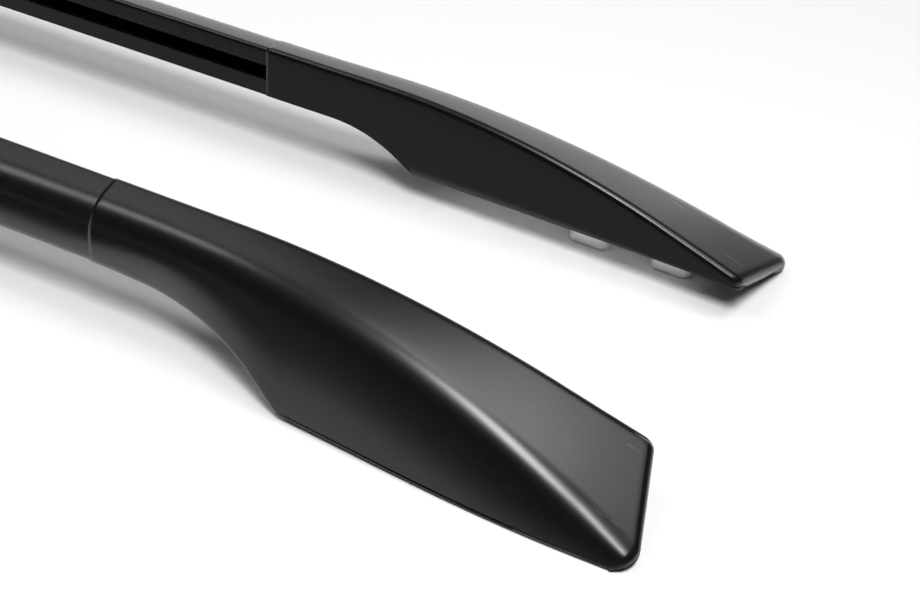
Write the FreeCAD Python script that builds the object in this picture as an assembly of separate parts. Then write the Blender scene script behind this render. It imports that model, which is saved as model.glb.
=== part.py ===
import FreeCAD, Part
import os
from math import cos, radians, sin, sqrt
from FreeCAD import Vector

# A mirrored pair of roof rails lying side by side, each an extruded bar between two moulded end caps.
# X runs along the rails, Y across the pair, Z is up, and the feet stand on z = 0.
# One end is drawn with x = 0 at its seam and s counted outward from the bar's inner face.

# Overall layout
bar_length = 1000.0
rail_spacing = 159.6
tip_inner_reach, tip_side_reach, tip_skew = 323.0, 64.8, 0.27
cap_length = tip_inner_reach + 0.8 * tip_skew * tip_side_reach
wall = 2.8
seam_gap = 0.2
fit_gap = 0.3

# Cap outline: inner top edge (crown), outer top edge (crease) and leaning side wall
crown_height, tip_crown_height = 76.2, 27.36
crown_fall_start, crown_fall_stop = 80.0, 270.0
crown_fall = (crown_height - tip_crown_height) / (tip_inner_reach - (crown_fall_start + crown_fall_stop) / 2)
crease_height, crease_reach, crease_spread = 72.4, 22.0, 34.0
crease_fall_start, crease_fall_stop, tip_crease_height = 65.0, 300.0, 9.83
crease_fall = (crease_height - tip_crease_height) / (cap_length - (crease_fall_start + crease_fall_stop) / 2)
crown_round, crown_round_tip = 3.2, 2.6
crease_round, crease_round_tip = 7.0, 5.0
toe_in = 7.0
lean_seam, lean_heel, lean_tip, lean_ramp = 0.165, 0.385, 0.70, 1.3
lean_start, lean_stop = 35.0, 130.0
side_bulge, side_bulge_tip, bulge_start, bulge_stop = 2.4, 0.5, 120.0, 330.0
section_floor, section_floor_heel = 28.0, -6.0
section_count, tip_margin = 9, 3.5

# Underside: level under the bar, an arch down to the heel, then the flat base
underside_height = 41.6
arch_start, arch_radius, arch_angle = 47.0, 84.0, radians(33.2)
base_height = 19.6
base_fall = 0.3
heel_skew = 0.5
tip_corner_radius = 12.0
tip_lip = 8.0
tip_edge_round = 1.6
tip_inner_round, tip_inner_clear = 6.0, 0.1
under_edge_round = 3.5

# Bar: hollow section with a T-slot in its inner face
seam_step = 0.6
bar_wall = 2.2
bar_corner_round = 5.5
slot_mouth, slot_middle, slot_lip = 10.9, 57.9, 2.2
slot_width, slot_depth = 18.0, 10.5
slot_web = 2.2

# Foot casting: spigot in the bar, arm over the arch, base plate, bosses and pillars
spigot_length, spigot_nose, nose_clear = 55.0, 16.0, 1.2
arm_inner, arm_outer = 14.2, 23.0
arm_clear = 1.5
arm_top, arm_shoulder, arm_foot = 62.0, 62.0, 150.0
plate_rise, plate_thickness = 1.5, 5.0
plate_start, plate_stop = 121.0, 290.0
plate_inner, plate_outer_start, plate_outer_stop = 3.5, 41.0, 48.0
boss_middle, boss_pitch, boss_reach = 247.7, 54.2, 22.4
boss_long, boss_wide, boss_round = 26.0, 15.2, 5.0
boss_top = 25.0
pillar_radius, pillar_top, pillar_skin = 6.0, 26.0, 4.0
pillar_places = (165.0, boss_middle)

# Threaded inserts in the bosses
insert_radius, insert_length = 5.5, 18.0
thread_radius = 3.4
pocket_relief = 2.0

# Screws that hold the cap to the foot and the bar to the spigot
post_radius = 4.6
cap_screw_radius, cap_screw_head, cap_screw_head_height = 1.9, 3.6, 2.4
cap_screw_length = 15.0
bar_screw_places = (-15.0, -40.0)
bar_screw_reach = 16.0
bar_screw_radius, bar_screw_head, bar_screw_head_height = 2.4, 3.9, 2.4
bar_screw_length = 11.0
screw_clear = 0.2


def ease(x, start, stop):
    """Smooth step from 0 at start to 1 at stop."""
    t = min(max((x - start) / (stop - start), 0.0), 1.0)
    return t * t * (3 - 2 * t)


def droop(x, start, stop, fall):
    """Drop of an edge: level to start, a parabola to stop, then straight at the slope fall."""
    bend = min(max(x, start), stop) - start
    return fall * bend * bend / (2 * (stop - start)) + fall * max(x - stop, 0.0)


def lean(x):
    """Outward run of the side wall for each millimetre of its height."""
    beyond = max(x - lean_stop, 0.0) / (cap_length - lean_stop)
    at_heel = lean_seam + (lean_heel - lean_seam) * ease(x, lean_start, lean_stop)
    return at_heel + (lean_tip - lean_heel) * beyond ** lean_ramp


def curve(*poles):
    """Edge along a Bezier curve."""
    bezier = Part.BezierCurve()
    bezier.setPoles(list(poles))
    return bezier.toShape()


def toward(start, end, distance):
    """Point at a distance from start on the way to end."""
    return start + (end - start) * (distance / start.distanceToPoint(end))


def cap_section(x, inset):
    """Closed outline of the rail across X, set in by a wall: inner face, crown, top, crease and side."""
    along = x / cap_length
    inner = -toe_in * along ** 3
    crown = crown_height - droop(x, crown_fall_start, crown_fall_stop, crown_fall)
    crease = crease_height - droop(x, crease_fall_start, crease_fall_stop, crease_fall)
    reach = crease_reach + crease_spread * along ** 2
    tilt = (crease - crown) / (reach - inner)
    side = lean(x)
    top_inset = inset * sqrt(1 + tilt ** 2)
    side_inset = inset * sqrt(1 + side ** 2)
    corner = (reach + side * (crease - crown + tilt * inner + top_inset) - side_inset) / (1 + side * tilt)
    corner_z = crown + tilt * (corner - inner) - top_inset
    floor = section_floor + (section_floor_heel - section_floor) * ease(x, lean_start, lean_stop)
    foot = Vector(x, corner + side * (corner_z - floor), floor)
    crown_corner = Vector(x, inner + inset, crown + tilt * inset - top_inset)
    crease_corner = Vector(x, corner, corner_z)
    heel = Vector(x, inner + inset, floor)
    crown_set = crown_round + (crown_round_tip - crown_round) * along - inset / 2
    crease_set = crease_round + (crease_round_tip - crease_round) * along - inset / 4
    a = toward(crown_corner, heel, crown_set)
    b = toward(crown_corner, crease_corner, crown_set)
    c = toward(crease_corner, crown_corner, crease_set)
    swell = side_bulge + (side_bulge_tip - side_bulge) * ease(x, bulge_start, bulge_stop)
    belly = (crease_corner + foot) / 2 + Vector(0, 2 * swell, 0)
    d = toward(crease_corner, belly, crease_set)
    edges = [Part.makeLine(heel, a), curve(a, crown_corner, b), Part.makeLine(b, c)]
    edges += [curve(c, crease_corner, d), curve(d, belly, foot), Part.makeLine(foot, heel)]
    return Part.Wire(edges)


def cap_loft(inset):
    """Solid through the cap's sections, from the seam to beyond the tip."""
    pitch = (tip_inner_reach + tip_skew * tip_side_reach + tip_margin) / (section_count - 1)
    wires = [cap_section(pitch * i, inset) for i in range(section_count)]
    return Part.makeLoft(wires, True, False)


def sweep(points_wire, start, stop):
    """Solid swept outward from start to stop along the falling, skewed run of the underside."""
    run = Vector(heel_skew, 1, -base_fall)
    face = Part.Face(points_wire)
    face.translate(run * start)
    return face.extrude(run * (stop - start))


def arch_edges(rise):
    """Arc and tangent of the arch, raised by a wall, with the two ends of the run."""
    middle = Vector(arch_start, 0, underside_height - arch_radius)
    radius = arch_radius + rise
    top = middle + Vector(0, 0, radius)
    knee = middle + Vector(radius * sin(arch_angle / 2), 0, radius * cos(arch_angle / 2))
    end = middle + Vector(radius * sin(arch_angle), 0, radius * cos(arch_angle))
    down = Vector(cos(arch_angle), 0, -sin(arch_angle))
    arc = Part.Arc(top, knee, end).toShape()
    return top, arc, end, down


def under_space(rise, open_base):
    """Space under the arch and the base, raised by a wall; with an open base it ends at the heel."""
    top, arc, end, down = arch_edges(rise)
    far = 2 * cap_length
    depth = -far
    level = base_height + rise
    if open_base:
        level = base_height - arch_radius
    heel = end + down * ((end.z - level) / sin(arch_angle))
    start = Vector(-far, 0, top.z)
    corners = [end, heel]
    if not open_base:
        corners.append(Vector(far, 0, level))
    corners.append(Vector(corners[-1].x, 0, depth))
    corners += [Vector(-far, 0, depth), start, top]
    return sweep(Part.Wire([arc] + Part.makePolygon(corners).Edges), -2 * rail_spacing / 3, rail_spacing)


def tip_outline(set_back):
    """Plan of what the cap keeps: a skewed tip edge with rounded corners, set back by a lip."""
    inner = -toe_in * (tip_inner_reach / cap_length) ** 3 - tip_inner_clear
    reach = tip_inner_reach - set_back
    plan = [Vector(-cap_length, inner, section_floor_heel)]
    plan.append(Vector(reach + tip_skew * inner, inner, section_floor_heel))
    plan.append(Vector(reach + tip_skew * tip_side_reach, tip_side_reach, section_floor_heel))
    plan.append(Vector(-cap_length, tip_side_reach, section_floor_heel))
    block = Part.Face(Part.makePolygon(plan + plan[:1])).extrude(Vector(0, 0, 2 * crown_height))
    corners = [e for e in block.Edges if e.BoundBox.ZLength > crown_height and e.BoundBox.XMin > 0]
    corners.sort(key=lambda e: e.CenterOfMass.y)
    block = block.makeFillet(tip_corner_radius, corners[1:])
    corners = [e for e in block.Edges if e.BoundBox.ZLength > crown_height and e.BoundBox.XMin > 0]
    corners.sort(key=lambda e: e.CenterOfMass.y)
    return block.makeFillet(tip_inner_round, corners[:1])


def slot_box(x, length, inner, outer, height):
    """Box centred on the T-slot's height."""
    corner = Vector(x, inner, slot_middle - height / 2)
    return Part.makeBox(length, outer - inner, height, corner)


def under_bar(rise):
    """Space under the sloping underside of the bar, raised by a wall."""
    level = underside_height + rise
    corners = [Vector(x, 0, z) for x, z in ((-1, level), (1, level), (1, 0), (-1, 0))]
    corners = [Vector(p.x * bar_length, 0, p.z) for p in corners]
    return sweep(Part.makePolygon(corners + corners[:1]), -rail_spacing / 3, rail_spacing / 3)


def chamber(x, length, inset):
    """Hollow of the bar behind the T-slot, set in by a clearance."""
    face = Part.Face(cap_section(0, seam_step + bar_wall + inset))
    face.translate(Vector(x, 0, 0))
    hollow = face.extrude(Vector(length, 0, 0))
    web = slot_depth + slot_web + inset
    slot_side = slot_box(x, length, -web, web, 2 * crown_height)
    return hollow.cut(slot_side).cut(under_bar(seam_step + bar_wall + inset))


def screw(seat, axis, radius, head_radius, head_height, length):
    """Pan-head screw whose head lies under its seat and whose shank runs up along the axis."""
    head = Part.makeCylinder(head_radius, head_height, seat, -axis)
    rim = [e for e in head.Edges if e.Closed and (e.CenterOfMass - seat).dot(axis) < -head_height / 2]
    head = head.makeFillet(head_height / 3, rim)
    return head.fuse(Part.makeCylinder(radius, length, seat, axis)).removeSplitter()


def bar_screw_seats():
    """Seats of the bar screws on the bar's sloping underside, and the axis square to it."""
    axis = Vector(0, base_fall, 1).normalize()
    height = underside_height + seam_step - base_fall * bar_screw_reach
    return [Vector(x, bar_screw_reach, height) for x in bar_screw_places], axis


def cap_screw_seats():
    """Seats of the cap screws inside the foot's pillars."""
    return [Vector(x, boss_reach, pillar_top - pillar_skin) for x in pillar_places]


def boss_places():
    """Middles of the two bosses on the ground."""
    return [Vector(boss_middle + side * boss_pitch / 2, boss_reach, 0) for side in (-1, 1)]


def make_bar():
    """Extruded bar over its full length, slotted, hollow and drilled for its screws at both ends."""
    half = bar_length / 2 - seam_gap / 2
    face = Part.Face(cap_section(0, seam_step))
    face.translate(Vector(-half, 0, 0))
    bar = face.extrude(Vector(2 * half, 0, 0)).cut(under_bar(seam_step))
    long_edges = [e for e in bar.Edges if e.BoundBox.XLength > half]
    low_edges = [e for e in long_edges if e.CenterOfMass.z < slot_middle - slot_width]
    bar = bar.makeFillet(bar_corner_round, low_edges)
    bar = bar.cut(chamber(-half, 2 * half, 0))
    bar = bar.cut(slot_box(-half, 2 * half, -slot_lip, slot_depth, slot_mouth))
    bar = bar.cut(slot_box(-half, 2 * half, slot_lip, slot_depth, slot_width))
    seats, axis = bar_screw_seats()
    for seat in seats:
        for side in (1, -1):
            start = Vector(side * (bar_length / 2 + seat.x), seat.y, seat.z) - axis * bar_wall
            bar = bar.cut(Part.makeCylinder(bar_screw_radius + screw_clear, 3 * bar_wall, start, axis))
    return bar


def off_base(edge):
    """Whether an edge of the cap stays clear of its flat base."""
    return all(v.Z - base_height + base_fall * v.Y > tip_edge_round for v in edge.Vertexes)


def cap_form():
    """Outer form of the cap as one solid, with its tip and the outer edge of its arch rounded."""
    form = cap_loft(0).cut(under_space(0, False)).common(tip_outline(0))
    tip_root = tip_inner_reach - 2 * tip_skew * toe_in - tip_inner_round
    tip = [e for e in form.Edges if e.BoundBox.XMin > tip_root and off_base(e)]
    form = form.makeFillet(tip_edge_round, tip)
    heel = arch_start + arch_radius + heel_skew * tip_side_reach
    outer = [e for e in form.Edges if e.CenterOfMass.y > crease_reach and e.BoundBox.XMax < heel]
    arch = [e for e in outer if e.BoundBox.XLength > wall]
    return form.makeFillet(under_edge_round, arch)


def seam_slab(start, thickness):
    """Slab across the rail at the seam, wider and taller than any section."""
    return Part.makeBox(thickness, 2 * rail_spacing, 2 * crown_height, Vector(start, -rail_spacing, 0))


def make_cap():
    """Moulded shell: arched and closed behind its heel, open under its base, with two screw posts."""
    outer = cap_form()
    cavity = cap_loft(wall).cut(under_space(wall, True)).common(tip_outline(tip_lip))
    cavity = cavity.cut(seam_slab(-wall, 2 * wall))
    shell = outer.cut(cavity)
    for seat in cap_screw_seats():
        foot = Vector(seat.x, seat.y, pillar_top + seam_gap)
        shell = shell.fuse(Part.makeCylinder(post_radius, crown_height, foot).common(outer))
        bore = Part.makeCylinder(cap_screw_radius + screw_clear, cap_screw_length + screw_clear, seat)
        shell = shell.cut(bore)
    shell = shell.cut(chamber(-wall, 3 * wall, -fit_gap / 2))
    return shell.cut(seam_slab(seam_gap / 2 - wall, wall))


def make_arm():
    """Arm of the foot, from the spigot over the arch down to the plate."""
    top, arc, end, down = arch_edges(wall + arm_clear)
    plate_low = base_height + plate_rise
    heel = end + down * ((end.z - plate_low) / sin(arch_angle))
    points = [end, heel, Vector(arm_foot, 0, plate_low), Vector(arm_foot, 0, plate_low + plate_thickness)]
    points += [Vector(arm_shoulder, 0, arm_top), Vector(0, 0, arm_top), Vector(0, 0, top.z), top]
    return sweep(Part.Wire([arc] + Part.makePolygon(points).Edges), arm_inner, arm_outer)


def make_plate():
    """Sloping plate of the foot inside the cap's rim."""
    low = base_height + plate_rise
    high = low + plate_thickness
    far = 2 * cap_length
    points = [Vector(x, 0, z) for x, z in ((0, low), (far, low), (far, high), (0, high))]
    slab = sweep(Part.makePolygon(points + points[:1]), 0, tip_side_reach)
    skewed_start = plate_start + heel_skew * plate_outer_start
    plan = [Vector(plate_start, plate_inner, 0), Vector(plate_stop, plate_inner, 0)]
    plan += [Vector(plate_stop, plate_outer_stop, 0), Vector(skewed_start, plate_outer_start, 0)]
    column = Part.Face(Part.makePolygon(plan + plan[:1])).extrude(Vector(0, 0, crown_height))
    return slab.common(column)


def make_foot():
    """Cast foot: spigot, arm, plate, two bosses with insert pockets and two pillars for the cap screws."""
    foot = chamber(-spigot_length, spigot_length + wall, fit_gap)
    foot = foot.fuse(chamber(-spigot_length, spigot_length + spigot_nose, nose_clear))
    foot = foot.fuse(make_arm()).fuse(make_plate())
    for place in boss_places():
        corner = place - Vector(boss_long / 2, boss_wide / 2, 0)
        boss = Part.makeBox(boss_long, boss_wide, boss_top, corner)
        upright = [e for e in boss.Edges if e.BoundBox.ZLength > boss_top / 2]
        foot = foot.fuse(boss.makeFillet(boss_round, upright))
    for place in boss_places():
        pocket = Part.makeCylinder(insert_radius + screw_clear, insert_length + pocket_relief, place)
        foot = foot.cut(pocket)
    for seat in cap_screw_seats():
        plate_low = base_height + plate_rise - base_fall * seat.y
        start = Vector(seat.x, seat.y, plate_low)
        foot = foot.fuse(Part.makeCylinder(pillar_radius, pillar_top - plate_low, start))
        well = Vector(seat.x, seat.y, 0)
        foot = foot.cut(Part.makeCylinder(cap_screw_head + fit_gap, seat.z, well))
        foot = foot.cut(Part.makeCylinder(cap_screw_radius + screw_clear, cap_screw_length, seat))
    seats, axis = bar_screw_seats()
    for seat in seats:
        bore = Part.makeCylinder(bar_screw_radius + screw_clear, bar_screw_length + fit_gap, seat, axis)
        foot = foot.cut(bore)
    return foot.removeSplitter()


def make_inserts():
    """Threaded sleeves pressed into the two bosses, bored to the thread's core."""
    sleeves = []
    for place in boss_places():
        sleeve = Part.makeCylinder(insert_radius, insert_length, place)
        sleeves.append(sleeve.cut(Part.makeCylinder(thread_radius, insert_length, place)))
    return Part.makeCompound(sleeves)


def make_cap_screws():
    """Screws up through the pillars into the cap's posts."""
    up = Vector(0, 0, 1)
    size = (cap_screw_radius, cap_screw_head, cap_screw_head_height, cap_screw_length)
    return Part.makeCompound([screw(seat, up, *size) for seat in cap_screw_seats()])


def make_bar_screws():
    """Screws through the bar's underside into the spigot."""
    seats, axis = bar_screw_seats()
    size = (bar_screw_radius, bar_screw_head, bar_screw_head_height, bar_screw_length)
    return Part.makeCompound([screw(seat, axis, *size) for seat in seats])


def write_pair():
    """Place the bar of each rail and the pieces of each end, mirrored about the middle of the pair."""
    os.makedirs("parts", exist_ok=True)
    across = Vector(0, rail_spacing / 2, 0)
    bar = make_bar()
    bar.translate(across)
    ends = {"cap": make_cap(), "foot": make_foot(), "inserts": make_inserts()}
    ends["cap_screws"] = make_cap_screws()
    ends["bar_screws"] = make_bar_screws()
    for side, y in (("left", 1), ("right", -1)):
        rail = bar if y > 0 else bar.mirror(Vector(), Vector(0, 1, 0))
        rail.exportStep(f"parts/{side}_bar.step")
        for end, x in (("front", 1), ("rear", -1)):
            for name, shape in ends.items():
                piece = shape.copy()
                piece.translate(across + Vector(bar_length / 2, 0, 0))
                if x < 0:
                    piece = piece.mirror(Vector(), Vector(1, 0, 0))
                if y < 0:
                    piece = piece.mirror(Vector(), Vector(0, 1, 0))
                piece.exportStep(f"parts/{side}_{end}_{name}.step")


write_pair()
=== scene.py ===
from math import cos, pi, radians, sin, tan

import bpy
import numpy as np
from mathutils import Matrix, Vector


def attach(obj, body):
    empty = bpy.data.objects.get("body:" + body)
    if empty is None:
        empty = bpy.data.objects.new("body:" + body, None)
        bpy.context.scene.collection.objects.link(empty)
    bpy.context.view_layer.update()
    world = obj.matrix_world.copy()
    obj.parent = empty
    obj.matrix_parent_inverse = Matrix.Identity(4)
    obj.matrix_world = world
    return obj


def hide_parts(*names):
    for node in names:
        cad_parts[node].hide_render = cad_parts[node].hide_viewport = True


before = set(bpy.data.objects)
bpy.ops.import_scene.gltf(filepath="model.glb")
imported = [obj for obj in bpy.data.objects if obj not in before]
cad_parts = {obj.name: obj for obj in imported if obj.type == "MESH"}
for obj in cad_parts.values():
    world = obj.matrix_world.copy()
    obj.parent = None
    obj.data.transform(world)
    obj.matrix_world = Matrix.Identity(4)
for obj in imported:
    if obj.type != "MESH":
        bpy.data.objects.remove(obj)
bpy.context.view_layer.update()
sides = ("left", "right")
ends = ("front", "rear")

# Bars: two aluminium extrusions with a T-slot along the inner face. They are coated satin black, with faint
# die lines along them, and the inner faces are left matt.
# Each is the rail's cross-section, in millimetres outward from the inner face, carried along its length.
inner_face, bar_half, seam_step = 79.8, 499.9, 0.6
crown_top, crown_tip, crown_bend, crown_round = 76.2, 27.36, (80.0, 270.0), (3.8, 6.0)
crease_top, crease_tip, crease_bend, crease_round = 72.4, 9.83, (65.0, 300.0), (10.5, 11.0)
crease_reach, crease_spread, crease_drop = 25.6, 33.2, 2.1
top_swell = (0.6, 0.2)
tip_reach, tip_side, tip_skew = 323.0, 64.8, 0.27
skew_share = 0.8
cap_length = tip_reach + skew_share * tip_skew * tip_side
toe_in = 7.0
side_lean, lean_bend, lean_power = (0.08, 0.345, 0.575), (35.0, 130.0), 1.3
side_floor, side_swell, swell_bend = (28.0, -6.0), (2.4, 0.5), (120.0, 330.0)
under_height, arch_start, arch_radius, arch_angle = 41.6, 47.0, 84.0, radians(33.2)
base_height, base_fall, heel_skew = 19.6, 0.3, 0.5
under_round, base_round, under_settle, heel_bend = (6.5, 3.5), 0.8, 60.0, (85.0, 110.0)
crease_share, halvings = 0.6, 36
columns = (8, 9, 22, 17, 26, 7)
slot_middle, slot_mouth, slot_width, slot_lip, slot_depth = 57.9, 10.9, 18.0, 2.2, 10.5
bar_crisp = radians(28)
bar_black = (0.0034, 0.0034, 0.0036, 1)
bar_roughness, bar_wander = 0.29, 0.04
die_lines, die_line_depth = (30, 2600, 2600), 2e-5
grain_strength, patch_range, edge_round = 0.35, (0.3, 0.7), 0.0007
matt_shine, matt_facing, coat_index = 0.15, (-0.95, -0.75), 1.4


def ease(x, start, stop):
    """Smooth step from 0 at start to 1 at stop."""
    t = np.clip((x - start) / (stop - start), 0, 1)
    return t * t * (3 - 2 * t)


def edge_height(x, top, tip, bend, end):
    """Height of a long edge: level, a parabola over the bend, then straight to the tip's height."""
    fall = (top - tip) / (end - (bend[0] + bend[1]) / 2)
    bent = np.clip(x, *bend) - bend[0]
    return top - fall * bent**2 / (2 * (bend[1] - bend[0])) - fall * np.maximum(x - bend[1], 0)


def under_edge(x, s):
    """Height of the underside: level, an arc, its tangent and the flat base, skewed and falling outward."""
    along = x - heel_skew * s - arch_start
    turn = np.clip(along / arch_radius, 0, sin(arch_angle))
    arc = under_height - arch_radius * (1 - np.sqrt(1 - turn**2))
    straight = np.maximum(along - arch_radius * sin(arch_angle), 0) * tan(arch_angle)
    return np.maximum(arc - straight, base_height) - base_fall * s


def bow(a, b, c, t):
    """Point on the curve from a to c that is drawn toward b: a quadratic Bezier."""
    return (1 - t) ** 2 * a + 2 * t * (1 - t) * b + t**2 * c


def step(a, b, distance):
    """Point at a distance from a toward b."""
    return a + (b - a) * distance / np.linalg.norm(b - a, axis=0)


def rail_profile(x, t):
    """Cross-section at x as (s, z): up the inner face, round the crown, over the top, round the crease,
    down the bowed side, round its lower edge and back along the underside. t holds each stretch's steps."""
    along = x / cap_length
    inner = -toe_in * along**3
    beyond = np.maximum(x - lean_bend[1], 0) / (cap_length - lean_bend[1])
    lean = side_lean[0] + (side_lean[1] - side_lean[0]) * ease(x, *lean_bend)
    lean = lean + (side_lean[2] - side_lean[1]) * beyond**lean_power
    crown = edge_height(x, crown_top, crown_tip, crown_bend, tip_reach)
    crease = edge_height(x, crease_top, crease_tip, crease_bend, cap_length) - crease_drop
    reach = crease_reach + crease_spread * along**2 + lean * crease_drop
    floor = side_floor[0] + (side_floor[1] - side_floor[0]) * ease(x, *lean_bend)
    swell = side_swell[0] + (side_swell[1] - side_swell[0]) * ease(x, *swell_bend)
    crown_point, crease_point = np.stack((inner, crown)), np.stack((reach, crease))
    foot = np.stack((reach + lean * (crease - floor), floor))
    belly = (crease_point + foot) / 2 + np.stack((2 * swell, 0 * swell))
    crown_set = crown_round[0] + (crown_round[1] - crown_round[0]) * along
    crease_set = crease_round[0] + (crease_round[1] - crease_round[0]) * along
    arched = 2 * (top_swell[0] + (top_swell[1] - top_swell[0]) * along)
    arch = (crown_point + crease_point) / 2 + np.stack((0 * arched, arched))
    wall_top = np.stack((inner, crown - crown_set))
    top_start = step(crown_point, arch, crown_set)
    top_stop = step(crease_point, arch, crease_set)
    side_set = np.minimum(crease_set, crease_share * (crease - under_edge(x, reach)))
    side_start = step(crease_point, belly, side_set)
    low, high = np.zeros_like(x), np.ones_like(x)
    for _ in range(halvings):
        middle = (low + high) / 2
        s, z = bow(side_start, belly, foot, middle)
        above = z > under_edge(x, s)
        low, high = np.where(above, middle, low), np.where(above, high, middle)
    edge = bow(side_start, belly, foot, low)
    arch_set = under_round[0] + (under_round[1] - under_round[0]) * ease(x, 0, under_settle)
    edge_set = base_round + (arch_set - base_round) * (1 - ease(x - heel_skew * edge[0], *heel_bend))
    side_stop = low * (1 - edge_set / np.linalg.norm(edge - side_start, axis=0))
    turned = edge[0] - edge_set
    turned = np.stack((turned, under_edge(x, turned)))
    wall_foot = np.stack((inner, under_edge(x, inner)))
    back = turned[0] + (inner - turned[0]) * t
    return [
        wall_foot + (wall_top - wall_foot) * t,
        bow(wall_top, crown_point, top_start, t),
        bow(top_start, arch, top_stop, t),
        bow(top_stop, crease_point, side_start, t),
        bow(side_start, belly, foot, side_stop * t),
        bow(bow(side_start, belly, foot, side_stop), edge, turned, t),
        np.stack((back, under_edge(x, back))),
    ]


def around(x):
    """Points (s, z) of the whole cross-section, once round, for rows of x."""
    counts = columns + (sum(columns),)
    t = np.concatenate([np.arange(n) / n for n in counts])[None, :]
    stretch = np.repeat(np.arange(len(counts)), counts)
    stretches = np.stack(rail_profile(x, t + 0 * x))
    return np.take_along_axis(stretches, stretch[None, None, None, :], axis=0)[0]


def bar_outline():
    """Cross-section at the seam, set in by the step square to itself, with the T-slot in its inner face."""
    ring = around(np.zeros((1, 2 * sum(columns))))[:, 0].T
    along = np.roll(ring, -1, 0) - np.roll(ring, 1, 0)
    inward = np.stack((along[:, 1], -along[:, 0]), -1) / np.linalg.norm(along, axis=1)[:, None]
    ring = ring + seam_step * inward
    mouth, deep = slot_mouth / 2, slot_width / 2
    half = np.array(((seam_step, mouth), (slot_lip, mouth), (slot_lip, deep), (slot_depth, deep)))
    slot = np.concatenate((half * (1, -1), half[::-1])) + (0, slot_middle)
    return np.concatenate((ring[:1], slot, ring[columns[0] :]))


def principled(name):
    """A new material with its Principled shader."""
    material = bpy.data.materials.new(name)
    material.use_nodes = True
    return material, material.node_tree.nodes["Principled BSDF"]


def grain_group():
    """Fine surface grain: a height for bump and a mask for roughness, from noise on stretched coordinates."""
    group = bpy.data.node_groups.new("surface grain", "ShaderNodeTree")
    group.interface.new_socket("Stretch", in_out="INPUT", socket_type="NodeSocketVector")
    group.interface.new_socket("Height", in_out="OUTPUT", socket_type="NodeSocketFloat")
    group.interface.new_socket("Patches", in_out="OUTPUT", socket_type="NodeSocketFloat")
    nodes, links = group.nodes, group.links
    into, out = nodes.new("NodeGroupInput"), nodes.new("NodeGroupOutput")
    place = nodes.new("ShaderNodeTexCoord")
    stretch = nodes.new("ShaderNodeVectorMath")
    stretch.operation = "MULTIPLY"
    fine = nodes.new("ShaderNodeTexNoise")
    fine.inputs["Scale"].default_value = 1.0
    fine.inputs["Detail"].default_value = 2.0
    broad = nodes.new("ShaderNodeTexNoise")
    broad.inputs["Scale"].default_value = 14.0
    broad.inputs["Detail"].default_value = 4.0
    links.new(place.outputs["Object"], stretch.inputs[0])
    links.new(into.outputs["Stretch"], stretch.inputs[1])
    links.new(stretch.outputs[0], fine.inputs["Vector"])
    links.new(place.outputs["Object"], broad.inputs["Vector"])
    links.new(fine.outputs[0], out.inputs["Height"])
    links.new(broad.outputs[0], out.inputs["Patches"])
    return group


def add_grain(material, shader, stretch, depth, roughness):
    """Feeds the grain to a shader: bump of a depth in metres and a roughness between two limits."""
    tree = material.node_tree
    grain = tree.nodes.new("ShaderNodeGroup")
    grain.node_tree = surface_grain
    grain.inputs["Stretch"].default_value = stretch
    bump = tree.nodes.new("ShaderNodeBump")
    bump.inputs["Strength"].default_value = grain_strength
    bump.inputs["Distance"].default_value = depth
    edges = tree.nodes.new("ShaderNodeBevel")
    edges.samples = 6
    edges.inputs["Radius"].default_value = edge_round
    level = tree.nodes.new("ShaderNodeMapRange")
    level.inputs["From Min"].default_value = patch_range[0]
    level.inputs["From Max"].default_value = patch_range[1]
    level.inputs["To Min"].default_value = roughness[0]
    level.inputs["To Max"].default_value = roughness[1]
    tree.links.new(grain.outputs["Height"], bump.inputs["Height"])
    tree.links.new(grain.outputs["Patches"], level.inputs["Value"])
    tree.links.new(level.outputs[0], shader.inputs["Roughness"])
    tree.links.new(edges.outputs[0], bump.inputs["Normal"])
    tree.links.new(bump.outputs[0], shader.inputs["Normal"])
    return grain


def satin_group():
    """Mask of the satin faces: 0 where the surface looks toward the middle of the pair, 1 elsewhere."""
    group = bpy.data.node_groups.new("satin faces", "ShaderNodeTree")
    group.interface.new_socket("Mask", in_out="OUTPUT", socket_type="NodeSocketFloat")
    nodes, links = group.nodes, group.links
    out = nodes.new("NodeGroupOutput")
    place = nodes.new("ShaderNodeTexCoord")
    where, facing = nodes.new("ShaderNodeSeparateXYZ"), nodes.new("ShaderNodeSeparateXYZ")
    side = nodes.new("ShaderNodeMath")
    side.operation = "SIGN"
    outward = nodes.new("ShaderNodeMath")
    outward.operation = "MULTIPLY"
    mask = nodes.new("ShaderNodeMapRange")
    mask.inputs["From Min"].default_value = matt_facing[0]
    mask.inputs["From Max"].default_value = matt_facing[1]
    links.new(place.outputs["Object"], where.inputs[0])
    links.new(place.outputs["Normal"], facing.inputs[0])
    links.new(where.outputs["Y"], side.inputs[0])
    links.new(side.outputs[0], outward.inputs[0])
    links.new(facing.outputs["Y"], outward.inputs[1])
    links.new(outward.outputs[0], mask.inputs["Value"])
    links.new(mask.outputs[0], out.inputs["Mask"])
    return group


def add_satin(material, shader, roughness):
    """Lays a satin coat over a matt black, but not on the faces that look toward the middle of the pair."""
    tree = material.node_tree
    satin = tree.nodes.new("ShaderNodeGroup")
    satin.node_tree = satin_faces
    shader.inputs["Specular IOR Level"].default_value = matt_shine
    shader.inputs["Coat IOR"].default_value = coat_index
    shader.inputs["Coat Roughness"].default_value = roughness
    tree.links.new(satin.outputs["Mask"], shader.inputs["Coat Weight"])
    tree.links.new(shader.inputs["Normal"].links[0].from_socket, shader.inputs["Coat Normal"])


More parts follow.
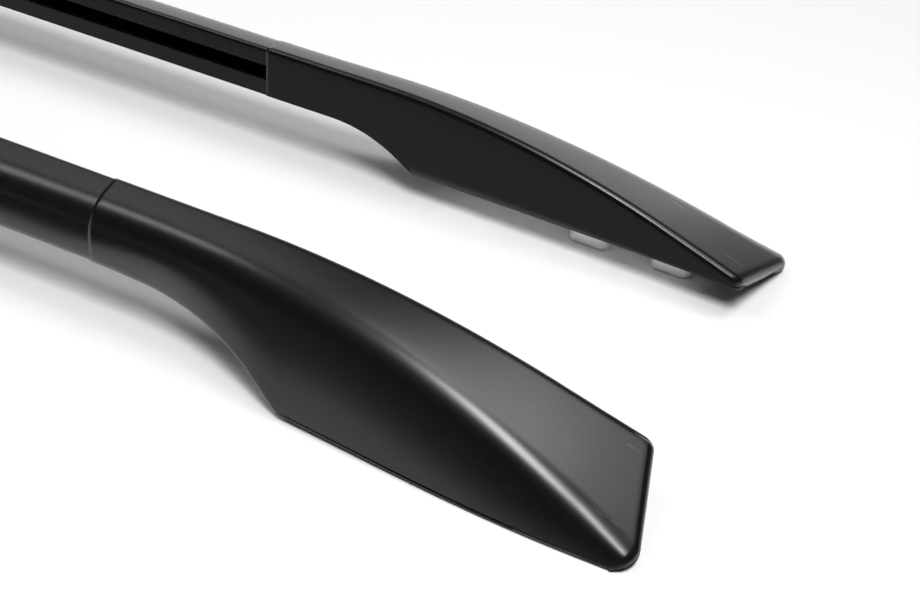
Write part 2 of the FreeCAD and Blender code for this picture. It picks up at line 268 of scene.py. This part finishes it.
def smooth_piece(name, points, faces, material, crisp_angle):
    """An object of points in metres and faces, shaded smooth but for edges sharper than an angle."""
    mesh = bpy.data.meshes.new(name)
    mesh.from_pydata(points.reshape(-1, 3), [], faces)
    mesh.shade_smooth()
    mesh.set_sharp_from_angle(angle=crisp_angle)
    mesh.materials.append(material)
    piece = bpy.data.objects.new(name, mesh)
    bpy.context.scene.collection.objects.link(piece)
    return piece


surface_grain = grain_group()
satin_faces = satin_group()
bar_material, bar_shader = principled("bar_coating_finish")
bar_shader.inputs["Base Color"].default_value = bar_black
bar_limits = (bar_roughness - bar_wander, bar_roughness + bar_wander)
add_grain(bar_material, bar_shader, die_lines, die_line_depth, bar_limits)
add_satin(bar_material, bar_shader, bar_roughness)
outline = bar_outline()
count = len(outline)
place = np.arange(count)
after = (place + 1) % count
lengthwise = np.stack((place, place + count, after + count, after), -1)
rings = np.stack([np.insert(outline, 0, x, axis=1) for x in (-bar_half, bar_half)]) + (0, inner_face, 0)
for side, y in zip(sides, (1, -1)):
    faces = [*lengthwise[:, ::y].tolist(), place[::y].tolist(), (place[::-y] + count).tolist()]
    bar = smooth_piece(f"{side}_bar_drawn", rings * (1, y, 1) / 1000, faces, bar_material, bar_crisp)
    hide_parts(f"{side}_bar")
    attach(bar, "root")

# End caps: satin black plastic mouldings with a fine grain. Handling has left dust specks and hair scratches
# towards the tips.
# Each is one skin worked out from the cap's edges, in millimetres from its seam, then thickened inward.
seam_place = 500.1
tip_corner, tip_inner_corner, corner_blend = 12.0, 5.0, 60.0
corner_gap, inset_share = 0.05, 0.98
nose_length, nose_share = 4.5, 0.6
wall, tip_wall_share, tip_wall_from = 1.8, 0.5, 293.0
arch_rows, base_rows, nose_rows = 50, 92, 12
settling_rounds, settling_share = 40, 0.5
cap_crisp = radians(32)
cap_black = (0.0028, 0.0028, 0.003, 1)
cap_roughness, cap_wander = 0.27, (0.03, 0.05)
cap_grain, cap_grain_depth = (1500, 1500, 1500), 2.5e-5
dust_grey = (0.16, 0.16, 0.15, 1)
tip_near, tip_far = 0.62, 0.83


def speck_group():
    """Dust and hair scratches: a mask of small spots and thin lines, thicker towards both ends of X."""
    group = bpy.data.node_groups.new("dust and scratches", "ShaderNodeTree")
    group.interface.new_socket("Mask", in_out="OUTPUT", socket_type="NodeSocketFloat")
    nodes, links = group.nodes, group.links
    out = nodes.new("NodeGroupOutput")
    place = nodes.new("ShaderNodeTexCoord")
    split = nodes.new("ShaderNodeSeparateXYZ")
    along = nodes.new("ShaderNodeMath")
    along.operation = "ABSOLUTE"
    toward_tip = nodes.new("ShaderNodeMapRange")
    toward_tip.inputs["From Min"].default_value = tip_near
    toward_tip.inputs["From Max"].default_value = tip_far
    toward_tip.inputs["To Min"].default_value = 0.1
    spots = nodes.new("ShaderNodeTexVoronoi")
    spots.inputs["Scale"].default_value = 150.0
    dots = nodes.new("ShaderNodeMapRange")
    dots.inputs["From Min"].default_value = 0.045
    dots.inputs["From Max"].default_value = 0.02
    turned = nodes.new("ShaderNodeMapping")
    turned.inputs["Rotation"].default_value = (0, 0, radians(28))
    turned.inputs["Scale"].default_value = (12, 260, 60)
    lines = nodes.new("ShaderNodeTexNoise")
    lines.inputs["Scale"].default_value = 1.0
    lines.inputs["Detail"].default_value = 3.0
    hairs = nodes.new("ShaderNodeMapRange")
    hairs.inputs["From Min"].default_value = 0.71
    hairs.inputs["From Max"].default_value = 0.76
    both = nodes.new("ShaderNodeMath")
    both.operation = "MAXIMUM"
    mask = nodes.new("ShaderNodeMath")
    mask.operation = "MULTIPLY"
    links.new(place.outputs["Object"], split.inputs[0])
    links.new(split.outputs["X"], along.inputs[0])
    links.new(along.outputs[0], toward_tip.inputs["Value"])
    links.new(place.outputs["Object"], spots.inputs["Vector"])
    links.new(spots.outputs["Distance"], dots.inputs["Value"])
    links.new(place.outputs["Object"], turned.inputs["Vector"])
    links.new(turned.outputs[0], lines.inputs["Vector"])
    links.new(lines.outputs[0], hairs.inputs["Value"])
    links.new(dots.outputs[0], both.inputs[0])
    links.new(hairs.outputs[0], both.inputs[1])
    links.new(both.outputs[0], mask.inputs[0])
    links.new(toward_tip.outputs[0], mask.inputs[1])
    links.new(mask.outputs[0], out.inputs["Mask"])
    return group


def add_tones(material, shader, mask, first, second):
    """Base colour that goes from a first to a second colour with a mask."""
    tone = material.node_tree.nodes.new("ShaderNodeMix")
    tone.data_type = "RGBA"
    factor, colours = tone.inputs[0], tone.inputs[6:8]
    colours[0].default_value = first
    colours[1].default_value = second
    material.node_tree.links.new(mask, factor)
    material.node_tree.links.new(tone.outputs[2], shader.inputs["Base Color"])


def cap_grid():
    """Points of one cap, row by row from the seam to the tip, each row once round the profile.
    Rows skew from square at the seam to the heel's and then the tip's slant."""
    heel = arch_start + arch_radius * sin(arch_angle)
    heel += (under_height - arch_radius * (1 - cos(arch_angle)) - base_height) / tan(arch_angle)
    nose = np.sin(np.linspace(0, pi / 2, nose_rows))
    base = np.linspace(heel, tip_reach - nose_length, base_rows)
    place = np.concatenate((np.linspace(0, heel, arch_rows), base[1:], base[-1] + nose_length * nose[1:]))
    place = place[:, None]
    skew = np.interp(place, (0, heel, tip_reach), (0, heel_skew, tip_skew))
    slant = tip_corner * np.hypot(tip_skew, 1)
    corner_s = tip_side - tip_corner
    corner_x = tip_reach + tip_skew * corner_s - slant
    x = place + np.zeros((1, 2 * sum(columns)))
    for _ in range(settling_rounds):
        s, z = around(x)
        bent = np.clip(s - corner_s, 0, tip_corner - corner_gap)
        rounded = corner_x + np.sqrt(tip_corner**2 - bent**2)
        cut = np.maximum(tip_reach + tip_skew * s - rounded, 0) * (s > corner_s - tip_skew * tip_corner)
        inset = np.clip(tip_inner_corner - (s - s[:, :1]), 0, inset_share * tip_inner_corner)
        cut += tip_inner_corner - np.sqrt(tip_inner_corner**2 - inset**2)
        cut *= ease(place, tip_reach - corner_blend, tip_reach)
        x += settling_share * (place + skew * s - cut - x)
    rounded = np.clip(place - tip_reach + nose_length, 0, nose_length) / nose_length
    low = under_edge(x, s)
    z = low + (z - low) * (1 - nose_share * (1 - np.sqrt(1 - rounded**2)))
    return np.stack((x, s, z), axis=-1)


def cap_faces(rows, count):
    """Quads of the skin, with no underside past the heel, and a strip across the tip."""
    row, column = np.meshgrid(np.arange(rows - 1), np.arange(count), indexing="ij")
    right = (column + 1) % count
    here, ahead = row * count, (row + 1) * count
    quads = np.stack((here + column, here + right, ahead + right, ahead + column), -1)
    kept = (row < arch_rows - 1) | (column < count // 2)
    tip = np.arange(count // 2 - 1)
    last = (rows - 1) * count
    strip = np.stack((last + tip, last + tip + 1, last + count - 2 - tip, last + count - 1 - tip), -1)
    return np.concatenate((quads[kept], strip))


cap_material, cap_shader = principled("cap_plastic_finish")
cap_limits = (cap_roughness - cap_wander[0], cap_roughness + cap_wander[1])
add_grain(cap_material, cap_shader, cap_grain, cap_grain_depth, cap_limits)
add_satin(cap_material, cap_shader, cap_roughness)
specks = cap_material.node_tree.nodes.new("ShaderNodeGroup")
specks.node_tree = speck_group()
add_tones(cap_material, cap_shader, specks.outputs["Mask"], cap_black, dust_grey)
cap_points = cap_grid()
used, skin = np.unique(cap_faces(*cap_points.shape[:2]), return_inverse=True)
skin = skin.reshape(-1, 4)
cap_points = cap_points.reshape(-1, 3)[used]
full_wall = np.flatnonzero(cap_points[:, 0] - tip_skew * cap_points[:, 1] < tip_wall_from).tolist()
for side, y in zip(sides, (1, -1)):
    for end, x in zip(ends, (1, -1)):
        placed = (cap_points + (seam_place, inner_face, 0)) * (x, y, 1) / 1000
        faces = skin[:, :: -x * y].tolist()
        cap = smooth_piece(f"{side}_{end}_cap_skin", placed, faces, cap_material, cap_crisp)
        walled = cap.vertex_groups.new(name="walled")
        walled.add(full_wall, 1.0, "REPLACE")
        thick = cap.modifiers.new("wall", "SOLIDIFY")
        thick.thickness = wall / 1000
        thick.offset = -1
        thick.vertex_group = walled.name
        thick.thickness_vertex_group = tip_wall_share
        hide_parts(f"{side}_{end}_cap")
        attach(cap, "root")

# Feet: aluminium castings inside the caps. Only their two bosses show below the base.
# The faces are matte as cast, so the imported solids keep their form and take a mottled finish.
# Both tones are lighter than the alloy's own grey. This is painted fill light for the bosses, which sit in
# the shade under the caps.
cast_dark_lifted, cast_light_lifted, cast_metallic = (0.80, 0.80, 0.79, 1), (0.92, 0.92, 0.91, 1), 0.2
cast_grain, cast_depth, cast_roughness = (900, 900, 900), 6e-5, (0.5, 0.65)


def mottled(name, dark, light, metallic, stretch, depth, roughness):
    """A metal whose colour wanders between two tones with the broad grain."""
    material, shader = principled(name)
    shader.inputs["Metallic"].default_value = metallic
    grain = add_grain(material, shader, stretch, depth, roughness)
    add_tones(material, shader, grain.outputs["Patches"], dark, light)
    return material


def dress(node, material):
    """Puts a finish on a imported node's own slots."""
    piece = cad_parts[node]
    for place in piece.material_slots:
        place.material = material


cast_surface = (cast_grain, cast_depth, cast_roughness)
cast_mottle_and_painted_fill = mottled("cast_alloy_mottle_and_painted_fill", cast_dark_lifted, cast_light_lifted, cast_metallic, *cast_surface)
for side in sides:
    for end in ends:
        dress(f"{side}_{end}_foot", cast_mottle_and_painted_fill)

# Inserts and screws: turned steel, zinc plated. The inserts sit in the bosses and take the vehicle's studs.
# The screws hold cap and bar to the foot from below.
zinc_dark, zinc_light, zinc_metallic = (0.50, 0.51, 0.52, 1), (0.68, 0.69, 0.70, 1), 1.0
zinc_surface = ((2500, 2500, 400), 1e-5, (0.28, 0.4))
zinc_finish = mottled("zinc_finish", zinc_dark, zinc_light, zinc_metallic, *zinc_surface)
for side in sides:
    for end in ends:
        for group in ("inserts", "cap_screws", "bar_screws"):
            dress(f"{side}_{end}_{group}", zinc_finish)

# Floor and light: a pale floor under the bosses, plain soft boxes over it and a bright wall behind.
# A dark card lies on the near side, outside the picture, for the sides to reflect.
# None of it belongs to the object.
floor_half, floor_drop, card_drop = 9.0, 0.0006, 0.0003
floor_pale, card_dark = (0.86, 0.86, 0.86, 1), (0.04, 0.04, 0.04, 1)
floor_corners = ((-1, -1), (1, -1), (1, 1), (-1, 1))
card_near = ((0.05, -0.165), (0.445, -0.165), (0.575, -0.345), (0.96, -0.135))
card_far = ((1.2, -0.5), (0.8, -0.85), (0.05, -0.85))
world_level = 0.06
aim = Vector((0.68, 0.0, 0.05))
boxes = {
    "key": ((0.22, -0.36, 0.91), 2.0, (0.42, 0.8), 30.0),
    "over": ((0.23, 0.19, 0.95), 2.2, (0.66, 1.35), 6.1),
    "left front": ((-0.60, -0.24, 0.76), 2.0, (0.36, 0.85), 6.5),
    "left back": ((-0.48, 0.25, 0.84), 2.4, (1.0, 1.45), 1.1),
    "wall": ((-0.36, 0.91, 0.20), 3.2, (3.8, 1.7), 1.15),
}


def sheet(name, corners, drop, colour):
    """A matt sheet lying level, through its corners."""
    mesh = bpy.data.meshes.new(name)
    mesh.from_pydata([(x, y, -drop) for x, y in corners], [], [range(len(corners))])
    material, shader = principled(name)
    shader.inputs["Base Color"].default_value = colour
    shader.inputs["Roughness"].default_value = 0.9
    shader.inputs["Specular IOR Level"].default_value = 0.0
    mesh.materials.append(material)
    piece = bpy.data.objects.new(name, mesh)
    bpy.context.scene.collection.objects.link(piece)


sheet("floor", [(floor_half * x, floor_half * y) for x, y in floor_corners], floor_drop, floor_pale)
sheet("card", card_near + card_far, card_drop, card_dark)

for name, (direction, distance, size, radiance) in boxes.items():
    lamp = bpy.data.lights.new(name, "AREA")
    lamp.shape = "RECTANGLE"
    lamp.size, lamp.size_y = size
    lamp.energy = radiance * pi * size[0] * size[1]
    box = bpy.data.objects.new(name, lamp)
    box.location = aim + Vector(direction).normalized() * distance
    box.rotation_euler = Vector(direction).to_track_quat("Z", "Y").to_euler()
    bpy.context.scene.collection.objects.link(box)

world = bpy.data.worlds.new("studio")
bpy.context.scene.world = world
world.use_nodes = True
sky = world.node_tree.nodes["Background"]
sky.inputs["Color"].default_value = (1, 1, 1, 1)
sky.inputs["Strength"].default_value = world_level

# Camera: at the photo's place, above the outer side of the right rail and level with the front caps.
camera_place = Vector((0.92628, -0.64716, 0.58068))
heading, pitch, roll = radians(21.01), radians(39.92), radians(6.19)
focal_pixels, photo_width, sensor_width = 1545.22, 920, 36.0
right = Vector((cos(heading), sin(heading), 0))
forward = Vector((-sin(heading) * cos(pitch), cos(heading) * cos(pitch), -sin(pitch)))
up = right.cross(forward)
across = right * cos(roll) + up * sin(roll)
upright = up * cos(roll) - right * sin(roll)
lens = bpy.data.cameras.new("photo")
lens.sensor_fit = "HORIZONTAL"
lens.sensor_width = sensor_width
lens.lens = focal_pixels / photo_width * sensor_width
camera = bpy.data.objects.new("photo", lens)
turn = Matrix((across, upright, -forward)).transposed().to_4x4()
camera.matrix_world = Matrix.Translation(camera_place) @ turn
bpy.context.scene.collection.objects.link(camera)
bpy.context.scene.camera = camera
bpy.context.scene.view_settings.view_transform = "Standard"
